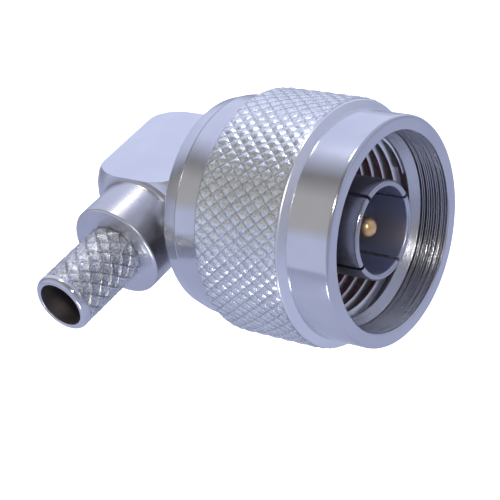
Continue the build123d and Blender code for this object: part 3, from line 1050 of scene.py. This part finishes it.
@dataclass
class MatingContacts:
    """The slotted sleeve, the insulator and the pin. Sizes are in mm."""

    tip: float = -1.0
    bore: float = 3.5
    sleeve: float = 4.05
    land: float = 4.3
    land_front: float = -9.8
    root: float = -14.0
    facets: int = 160
    slot_end: float = -8.6
    slot_count: int = 4
    slot_steps: int = 2
    slot_turn: float = 12.0
    insulator_front: float = -9.2
    insulator_rear: float = -20.5
    insulator_step: float = 2.9
    clearance: float = 0.005
    pin: float = 0.825
    pin_tip: float = -2.0
    pin_root: float = -7.2
    contact: float = 1.5
    contact_taper: float = 0.7
    contact_rear: float = -23.6
    rim_soft: float = 0.26
    land_soft: float = 0.05
    bead_inner_soft: float = 0.1
    bead_outer_soft: float = 0.3
    bead_end_soft: float = 0.2
    tip_soft: float = 0.7
    contact_soft: float = 0.1

    @staticmethod
    def angle(place: Vector) -> float:
        """Returns a place's angle about X from +Y, in radians."""
        return math.atan2(place.z, place.y) % FULL_TURN

    @staticmethod
    def open_edges(mesh: bmesh.types.BMesh) -> list[bmesh.types.BMEdge]:
        """Returns the edges that have fewer than two faces."""
        return [edge for edge in mesh.edges if len(edge.link_faces) < 2]

    def sleeve_mesh(self) -> bmesh.types.BMesh:
        """Spins the whole sleeve, then opens and walls its slots.

        Returns:
            The sleeve's mesh.
        """
        lathe = replace(MATING_AXIS, steps=self.facets)
        mesh = lathe.turn(
            (
                Corner(self.tip, self.bore, self.rim_soft),
                Corner(self.tip, self.sleeve, self.rim_soft),
                Corner(self.slot_end, self.sleeve),
                Corner(self.land_front, self.sleeve, self.land_soft),
                Corner(self.land_front, self.land, self.land_soft),
                Corner(self.root, self.land, self.land_soft),
                Corner(self.root, self.bore, self.land_soft),
                Corner(self.slot_end, self.bore),
            )
        )
        step = FULL_TURN / lathe.steps
        first = round(math.radians(self.slot_turn) / step)
        starts = [first + turn * lathe.steps // self.slot_count for turn in range(self.slot_count)]
        for start in starts:
            self.open_slot(mesh, start * step, (start + self.slot_steps) * step)
        bmesh.ops.recalc_face_normals(mesh, faces=mesh.faces[:])
        return mesh

    def open_slot(self, mesh: bmesh.types.BMesh, low: float, high: float) -> None:
        """Takes out the faces between two angles, in front of the slot's end, and walls the gap.

        Args:
            mesh: the sleeve.
            low: angle of one wall about X from +Y, in radians.
            high: angle of the other wall.
        """
        end = self.slot_end * MM
        middles = {face: face.calc_center_median() for face in mesh.faces}
        gone = [
            face for face, middle in middles.items() if low < self.angle(middle) < high and middle.x > end
        ]
        bmesh.ops.delete(mesh, geom=gone, context="FACES")
        rim = [edge for edge in mesh.edges if edge.is_boundary]
        deepest = [vert for edge in rim for vert in edge.verts if abs(vert.co.x - end) < WELD]
        for side in (low, high):
            ends = {vert for vert in deepest if abs(self.angle(vert.co) - side) < SAME_ANGLE}
            mesh.edges.new(tuple(ends))
        for side in (low, high):
            wall = [
                edge
                for edge in self.open_edges(mesh)
                if all(abs(self.angle(vert.co) - side) < SAME_ANGLE for vert in edge.verts)
            ]
            bmesh.ops.contextual_create(mesh, geom=wall)
        back = [
            edge for edge in self.open_edges(mesh) if all(abs(vert.co.x - end) < WELD for vert in edge.verts)
        ]
        bmesh.ops.contextual_create(mesh, geom=back)

    def insulator_mesh(self) -> bmesh.types.BMesh:
        """Turns the stepped insulator.

        Returns:
            The insulator's mesh.
        """
        inner, outer = self.contact + self.clearance, self.bore - self.clearance
        return MATING_AXIS.turn(
            (
                Corner(self.insulator_front, inner, self.bead_inner_soft),
                Corner(self.insulator_front, outer, self.bead_outer_soft),
                Corner(self.root, outer),
                Corner(self.root, self.insulator_step),
                Corner(self.insulator_rear, self.insulator_step, self.bead_end_soft),
                Corner(self.insulator_rear, inner),
            )
        )

    def pin_mesh(self) -> bmesh.types.BMesh:
        """Turns the pin with its domed tip and its thicker body.

        Returns:
            The pin's mesh.
        """
        return MATING_AXIS.turn(
            (
                Corner(self.pin_tip, 0),
                Corner(self.pin_tip, self.pin, self.tip_soft),
                Corner(self.pin_root, self.pin, self.contact_soft),
                Corner(self.pin_root - self.contact_taper, self.contact, self.contact_soft),
                Corner(self.contact_rear, self.contact, self.contact_soft),
                Corner(self.contact_rear, 0),
            )
        )

    def build(self) -> None:
        """Builds and dresses the contacts."""
        # The sleeve's bore gets the blue plate: painted reflection.
        zones = [Patch(SLEEVE_BORE_PAINTED_REFLECTION, MATING_AXIS, (0, self.bore + ZONE_SLACK), (self.root, self.tip))]
        sleeve = self.sleeve_mesh()
        add_piece("spring_sleeve", sleeve, CONTACT_NICKEL, Body.PLUG, ["outer_contact"], patches=zones)
        add_piece("insulator_bead", self.insulator_mesh(), INSULATOR_WHITE, Body.PLUG, ["insulator"])
        add_piece("contact_pin", self.pin_mesh(), CONTACT_GOLD, Body.PLUG, ["centre_contact"])


@dataclass
class ElbowBody:
    """The block from square bar, its neck, the knurled crimp stem and the access cap. Sizes are in mm."""

    bar: float = 9.0
    bar_edge: float = 0.15
    near: float = 4.6
    far: float = 5.6
    face_radius: float = 4.85
    corner_cuts: int = 9
    corner_span: float = 20.0
    corner_slopes: tuple[float, ...] = (60, 40, 20)
    sharp: float = 24.0
    edge_soft: float = 0.06
    neck: float = 4.25
    neck_end: float = 8.8
    neck_root: float = 0.25
    neck_lap: float = 0.01
    neck_sunk: float = 0.3
    neck_proud: float = 0.002
    neck_soft: float = 0.22
    stem: float = 2.6
    stem_core: float = 2.36
    stem_root: float = 2.46
    stem_end: float = 16.2
    stem_rim: float = 0.75
    rim_slope: float = 0.1
    stem_soft: float = 0.05
    mouth_soft: float = 0.42
    cable_bore: float = 2.0
    bore_soft: float = 0.08
    bore_margin: float = 0.02
    knurl_count: int = 12
    knurl_rows: int = 5
    knurl_ledges: tuple[Ledge, ...] = (Ledge(0.1, 0.1),)
    knurl_cuts: int = 3
    knurl_sunk: float = 0.15
    cap: float = 3.6
    cap_front: float = -25.7
    cap_rear: float = -27.15
    cap_soft: float = 0.2

    @staticmethod
    def cut(mesh: bmesh.types.BMesh, place: Vector, normal: Vector) -> None:
        """Cuts a convex mesh with a plane and closes it.

        Args:
            mesh: the mesh.
            place: a point of the plane, in metres.
            normal: the side of the plane that falls away.
        """
        geom = [*mesh.verts, *mesh.edges, *mesh.faces]
        done = bmesh.ops.bisect_plane(mesh, geom=geom, plane_co=place, plane_no=normal, clear_outer=True)
        rim = [item for item in done["geom_cut"] if isinstance(item, bmesh.types.BMEdge)]
        if rim:
            bmesh.ops.contextual_create(mesh, geom=rim)

    @staticmethod
    def soften(mesh: bmesh.types.BMesh, edges: list[bmesh.types.BMEdge], width: float) -> None:
        """Rounds edges of the block.

        Args:
            mesh: the block.
            edges: the edges to round.
            width: how far from an edge its rounding starts, in mm.
        """
        bmesh.ops.bevel(
            mesh,
            geom=edges,
            offset=width * MM,
            segments=EDGE_SEGMENTS,
            profile=0.5,
            affect="EDGES",
            clamp_overlap=True,
            material=-1,
        )

    def round_corner(self, mesh: bmesh.types.BMesh, end: Vector, out: Vector) -> None:
        """Cuts one facet of each cone that rounds a corner of the bar.

        Args:
            mesh: the block.
            end: the end face's place on the cable's axis, in mm.
            out: the facet's direction from that axis.
        """
        slopes = [math.radians(slope) for slope in self.corner_slopes]
        step = (self.bar / math.sqrt(2) - self.face_radius) / sum(math.sin(slope) for slope in slopes)
        place = Vector(CABLE_AXIS.centre) + end + out * self.face_radius
        inward = -end.normalized()
        for slope in slopes:
            self.cut(mesh, place * MM, out * math.cos(slope) - inward * math.sin(slope))
            place += (out * math.sin(slope) + inward * math.cos(slope)) * step

    def block_mesh(self) -> bmesh.types.BMesh:
        """Cuts a length of bar and turns its corners round at both ends.

        Returns:
            The block's mesh.
        """
        mesh = bmesh.new()
        bmesh.ops.create_cube(mesh, size=1.0)
        size = Vector((self.bar, self.far + self.near, self.bar))
        centre = Vector(CABLE_AXIS.centre) + Vector((0, (self.far - self.near) / 2, 0))
        bmesh.ops.scale(mesh, vec=size * MM, verts=mesh.verts[:])
        bmesh.ops.translate(mesh, vec=centre * MM, verts=mesh.verts[:])
        runs = {edge: (edge.verts[0].co - edge.verts[1].co).normalized() for edge in mesh.edges}
        self.soften(mesh, [edge for edge, run in runs.items() if abs(run.y) > PARALLEL], self.bar_edge)
        for end in (Vector((0, -self.near, 0)), Vector((0, self.far, 0))):
            for corner in range(4):
                for step in range(self.corner_cuts):
                    sway = self.corner_span * (2 * step / (self.corner_cuts - 1) - 1)
                    turn = math.radians(45 + 90 * corner + sway)
                    self.round_corner(mesh, end, Vector((math.cos(turn), 0, math.sin(turn))))
        sharp = [edge for edge in mesh.edges if edge.calc_face_angle(0) > math.radians(self.sharp)]
        self.soften(mesh, sharp, self.edge_soft)
        bmesh.ops.recalc_face_normals(mesh, faces=mesh.faces[:])
        return mesh

    def stem_mesh(self) -> bmesh.types.BMesh:
        """Turns the neck and the hollow stem.

        Returns:
            The mesh of both.
        """
        knurl_end = self.stem_end - self.stem_rim
        sunk, proud = self.near - self.neck_sunk, self.near + self.neck_proud
        foot = self.neck + self.neck_root + self.neck_lap
        return CABLE_AXIS.turn(
            (
                Corner(sunk, self.cable_bore),
                Corner(sunk, foot),
                Corner(proud, foot),
                Corner(proud, self.neck, self.neck_root),
                Corner(self.neck_end, self.neck, self.neck_soft),
                Corner(self.neck_end, self.stem_core, self.stem_soft),
                Corner(knurl_end, self.stem_core, self.stem_soft),
                Corner(knurl_end + self.rim_slope, self.stem, self.stem_soft),
                Corner(self.stem_end, self.stem, self.mouth_soft),
                Corner(self.stem_end, self.cable_bore, self.bore_soft),
            )
        )

    def knurl_mesh(self) -> bmesh.types.BMesh:
        """Builds the ring of long diamonds on the stem.

        Returns:
            The ring's mesh.
        """
        return DiamondKnurl(
            lathe=CABLE_AXIS,
            start=self.neck_end,
            end=self.stem_end - self.stem_rim,
            root=self.stem_root,
            crest=self.stem,
            buried=self.stem_core - self.knurl_sunk,
            count=self.knurl_count,
            rows=self.knurl_rows,
            ledges=self.knurl_ledges,
            cuts=self.knurl_cuts,
        ).build()

    def cap_mesh(self) -> bmesh.types.BMesh:
        """Turns the disc over the soldered joint.

        Returns:
            The disc's mesh.
        """
        return MATING_AXIS.turn(
            (
                Corner(self.cap_front, 0),
                Corner(self.cap_front, self.cap),
                Corner(self.cap_rear, self.cap, self.cap_soft),
                Corner(self.cap_rear, 0),
            )
        )

    def build(self) -> None:
        """Builds and dresses the body's pieces."""
        add_piece("elbow_block", self.block_mesh(), BODY_NICKEL, Body.PLUG, ["elbow_body"])
        face_front, face_rear = self.neck_end - ZONE_SLACK, self.neck_end + ZONE_SLACK
        neck_radii = (self.neck - ZONE_SLACK, self.neck + self.neck_root)
        # The cable bore gets the dark plate: painted shade in the hole.
        bore = Patch(BORE_SHADE_NICKEL, CABLE_AXIS, (0, self.cable_bore + self.bore_margin), (0, self.stem_end))
        face = Patch(FACE_NICKEL, CABLE_AXIS, (self.stem, self.neck), (face_front, face_rear))
        # The neck gets the dark plate: painted shade.
        neck = Patch(NECK_SHADE_NICKEL, CABLE_AXIS, neck_radii, (0, face_front))
        add_piece("elbow_stem", self.stem_mesh(), BODY_NICKEL, Body.PLUG, patches=[bore, face, neck])
        add_piece("stem_knurl", self.knurl_mesh(), STEM_NICKEL, Body.PLUG)
        add_piece("joint_cap", self.cap_mesh(), SHELL_NICKEL, Body.PLUG, ["access_cap"])


@dataclass(frozen=True)
class Lamp:
    """A soft round lamp that is aimed at the part.

    Args:
        name: the lamp's name.
        towards: direction from the part to the lamp.
        distance: how far off it hangs, in mm.
        size: its width, in mm.
        power: its power in watts.
        colour: its colour, linear.
        mirrored: whether bright surfaces show it.
    """

    name: str
    towards: Triple
    distance: float
    size: float
    power: float
    colour: Triple
    mirrored: bool = True

    def hang(self, aim: Vector) -> None:
        """Hangs the lamp.

        Args:
            aim: the point that it shines at, in metres.
        """
        data = bpy.data.lights.new(self.name, "AREA")
        data.shape = "DISK"
        data.size = self.size * MM
        data.energy = self.power
        data.color = self.colour
        lamp = bpy.data.objects.new(self.name, data)
        lamp.location = aim + Vector(self.towards).normalized() * self.distance * MM
        lamp.visible_glossy = self.mirrored
        lamp.visible_camera = False
        lamp.rotation_mode = "QUATERNION"
        lamp.rotation_quaternion = (aim - lamp.location).to_track_quat("-Z", "Y")
        bpy.context.scene.collection.objects.link(lamp)


@dataclass(frozen=True)
class PanelEdge:
    """One edge of a plain panel of the room, as seen from the part.

    Args:
        rise: degrees from the front horizon over the zenith to the rear horizon.
        level: how bright the panel is.
        tone: the colour of its light.
    """

    rise: float
    level: float
    tone: Tone


@dataclass(frozen=True)
class RoomSide:
    """How bright the room is towards one side of the part.

    Args:
        towards: the X component of the direction.
        share: share of the room's full light.
    """

    towards: float
    share: float


@dataclass
class Studio:
    """The pale floor, the soft room, the lamps and the camera. Sizes are in mm."""

    floor_level: float = -58.0
    floor_size: float = 700.0
    floor_white: Triple = (0.96, 0.96, 0.97)
    floor_mirrored: float = 0.3
    floor_roughness: float = 0.9
    backdrop: Triple = (0.96, 0.96, 0.97)
    room_strength: float = 1.4
    azimuth: float = 44.71
    elevation: float = 33.80
    roll: float = -17.19
    place: Triple = (66.145, -82.949, 73.14)
    lens: float = 117.595
    sensor: float = 36.0
    clip: float = 2.0
    aim: Triple = (-12.0, 0.0, 0.0)
    room: tuple[PanelEdge, ...] = (
        PanelEdge(0, 0.7, Tone.DAYLIGHT),
        PanelEdge(20, 0.7, Tone.DAYLIGHT),
        PanelEdge(30, 0.5, Tone.NEUTRAL),
        PanelEdge(60, 0.5, Tone.NEUTRAL),
        PanelEdge(80, 0.25, Tone.NEUTRAL),
        PanelEdge(110, 0.9, Tone.DAYLIGHT),
        PanelEdge(180, 0.9, Tone.DAYLIGHT),
    )
    sides: tuple[RoomSide, ...] = (
        RoomSide(-1.0, 0.5),
        RoomSide(-0.92, 0.85),
        RoomSide(-0.8, 1.0),
        RoomSide(-0.2, 1.0),
        RoomSide(0.4, 0.6),
    )
    lamps: tuple[Lamp, ...] = (
        Lamp("floor_wash", (-0.1, -0.05, 1.0), 500, 700, 5.0, (1.0, 1.0, 1.0), mirrored=False),
        Lamp("top_lamp", (-0.2, 0.25, 0.95), 300, 60, 0.14, (1.0, 0.99, 0.97)),
        Lamp("front_lamp", (0.61, -0.43, 0.66), 300, 30, 0.18, (1.0, 0.99, 0.97)),
        Lamp("low_lamp", (-0.15, -0.91, -0.38), 130, 26, 0.012, (1.0, 1.0, 1.0)),
    )

    def floor(self) -> None:
        """Lays the floor, which is pale to the camera and darker and cool in reflections."""
        mesh = bmesh.new()
        bmesh.ops.create_grid(mesh, x_segments=1, y_segments=1, size=self.floor_size * MM / 2)
        bmesh.ops.translate(mesh, vec=(0, 0, self.floor_level * MM), verts=mesh.verts[:])
        data = bpy.data.meshes.new("floor")
        mesh.to_mesh(data)
        mesh.free()
        paint = bpy.data.materials.new("floor_paint")
        paint.use_nodes = True
        nodes, links = paint.node_tree.nodes, paint.node_tree.links
        shader = find_node(paint.node_tree, "BSDF_PRINCIPLED")
        shader.inputs["Roughness"].default_value = self.floor_roughness
        shader.inputs["Specular IOR Level"].default_value = 0.0
        path, tone = nodes.new("ShaderNodeLightPath"), nodes.new("ShaderNodeMix")
        tone.data_type = "RGBA"
        tone.inputs["A"].default_value = (*(value * self.floor_mirrored for value in Tone.DAYLIGHT.value), 1)
        tone.inputs["B"].default_value = (*self.floor_white, 1)
        links.new(path.outputs["Is Camera Ray"], tone.inputs["Factor"])
        links.new(tone.outputs["Result"], shader.inputs["Base Color"])
        data.materials.append(paint)
        floor = bpy.data.objects.new("floor", data)
        bpy.context.scene.collection.objects.link(floor)

    def panels(self, tree: bpy.types.ShaderNodeTree, split: bpy.types.Node) -> bpy.types.NodeSocket:
        """Ramps the panels' light from the front horizon over the zenith to the rear horizon.

        Args:
            tree: the room's nodes.
            split: the node that gives the direction's three components.

        Returns:
            The socket that gives the light's colour.
        """
        nodes, links = tree.nodes, tree.links
        front, rise, share = (nodes.new("ShaderNodeMath") for _ in range(3))
        front.operation, rise.operation, share.operation = "MULTIPLY", "ARCTAN2", "DIVIDE"
        front.inputs[1].default_value = -1.0
        share.inputs[1].default_value = math.pi
        links.new(split.outputs["Y"], front.inputs[0])
        links.new(split.outputs["Z"], rise.inputs[0])
        links.new(front.outputs[0], rise.inputs[1])
        links.new(rise.outputs[0], share.inputs[0])
        ramp = nodes.new("ShaderNodeValToRGB")
        stops = ramp.color_ramp.elements
        stops[0].position, stops[1].position = 0.0, 1.0
        for edge in self.room[1:-1]:
            stops.new(edge.rise / 180)
        for stop, edge in zip(stops, self.room):
            stop.color = (*(value * edge.level / self.room_strength for value in edge.tone.value), 1)
        links.new(share.outputs[0], ramp.inputs["Fac"])
        return ramp.outputs["Color"]

    def falloff(self, tree: bpy.types.ShaderNodeTree, split: bpy.types.Node) -> bpy.types.NodeSocket:
        """Dims the room towards its sides.

        Args:
            tree: the room's nodes.
            split: the node that gives the direction's three components.

        Returns:
            The socket that gives the light's strength.
        """
        nodes, links = tree.nodes, tree.links
        kinds = ("MapRange", "ValToRGB", "Math")
        across, shade, strength = (nodes.new(f"ShaderNode{kind}") for kind in kinds)
        across.inputs["From Min"].default_value = -1.0
        links.new(split.outputs["X"], across.inputs["Value"])
        links.new(across.outputs["Result"], shade.inputs["Fac"])
        marks = shade.color_ramp.elements
        for _ in self.sides[2:]:
            marks.new(1.0)
        for mark, side in zip(marks, self.sides):
            mark.position = (side.towards + 1) / 2
            mark.color = (side.share, side.share, side.share, 1)
        strength.operation = "MULTIPLY"
        strength.inputs[1].default_value = self.room_strength
        links.new(shade.outputs["Color"], strength.inputs[0])
        return strength.outputs[0]

    def walls(self) -> None:
        """Lights the room: a fill in front, a grey wall, a dark ceiling and a soft box behind."""
        world = bpy.data.worlds.new("room")
        world.use_nodes = True
        tree = world.node_tree
        nodes, links = tree.nodes, tree.links
        back, sink = find_node(tree, "BACKGROUND"), find_node(tree, "OUTPUT_WORLD")
        coordinate, split = nodes.new("ShaderNodeTexCoord"), nodes.new("ShaderNodeSeparateXYZ")
        links.new(coordinate.outputs["Generated"], split.inputs[0])
        links.new(self.panels(tree, split), back.inputs["Color"])
        links.new(self.falloff(tree, split), back.inputs["Strength"])
        kinds = ("LightPath", "Background", "MixShader")
        path, plain, seen = (nodes.new(f"ShaderNode{kind}") for kind in kinds)
        plain.inputs["Color"].default_value = (*self.backdrop, 1)
        links.new(path.outputs["Is Camera Ray"], seen.inputs["Fac"])
        links.new(back.outputs[0], seen.inputs[1])
        links.new(plain.outputs[0], seen.inputs[2])
        links.new(seen.outputs[0], sink.inputs["Surface"])
        bpy.context.scene.world = world

    def camera(self) -> None:
        """Sets up the camera."""
        data = bpy.data.cameras.new("camera")
        data.lens = self.lens
        data.sensor_width = self.sensor
        data.clip_start = self.clip * MM
        camera = bpy.data.objects.new("camera", data)
        turn = Matrix.Rotation(math.radians(self.azimuth), 4, "Z")
        tilt = Matrix.Rotation(math.radians(90 - self.elevation), 4, "X")
        roll = Matrix.Rotation(math.radians(self.roll), 4, "Z")
        camera.matrix_world = Matrix.Translation(Vector(self.place) * MM) @ turn @ tilt @ roll
        bpy.context.scene.collection.objects.link(camera)
        bpy.context.scene.camera = camera

    def build(self) -> None:
        """Builds the whole studio."""
        self.floor()
        self.walls()
        for lamp in self.lamps:
            lamp.hang(Vector(self.aim) * MM)
        self.camera()
        bpy.context.scene.view_settings.view_transform = "Standard"


def main() -> None:
    """Builds the plug and its studio."""
    logging.basicConfig(level=logging.INFO, format="%(name)s %(message)s")
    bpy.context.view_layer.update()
    for assembly in (CouplingNut(), FrontShell(), MatingContacts(), ElbowBody(), Studio()):
        assembly.build()
        LOG.info("built %s", type(assembly).__name__)


if __name__ == "__main__":
    main()
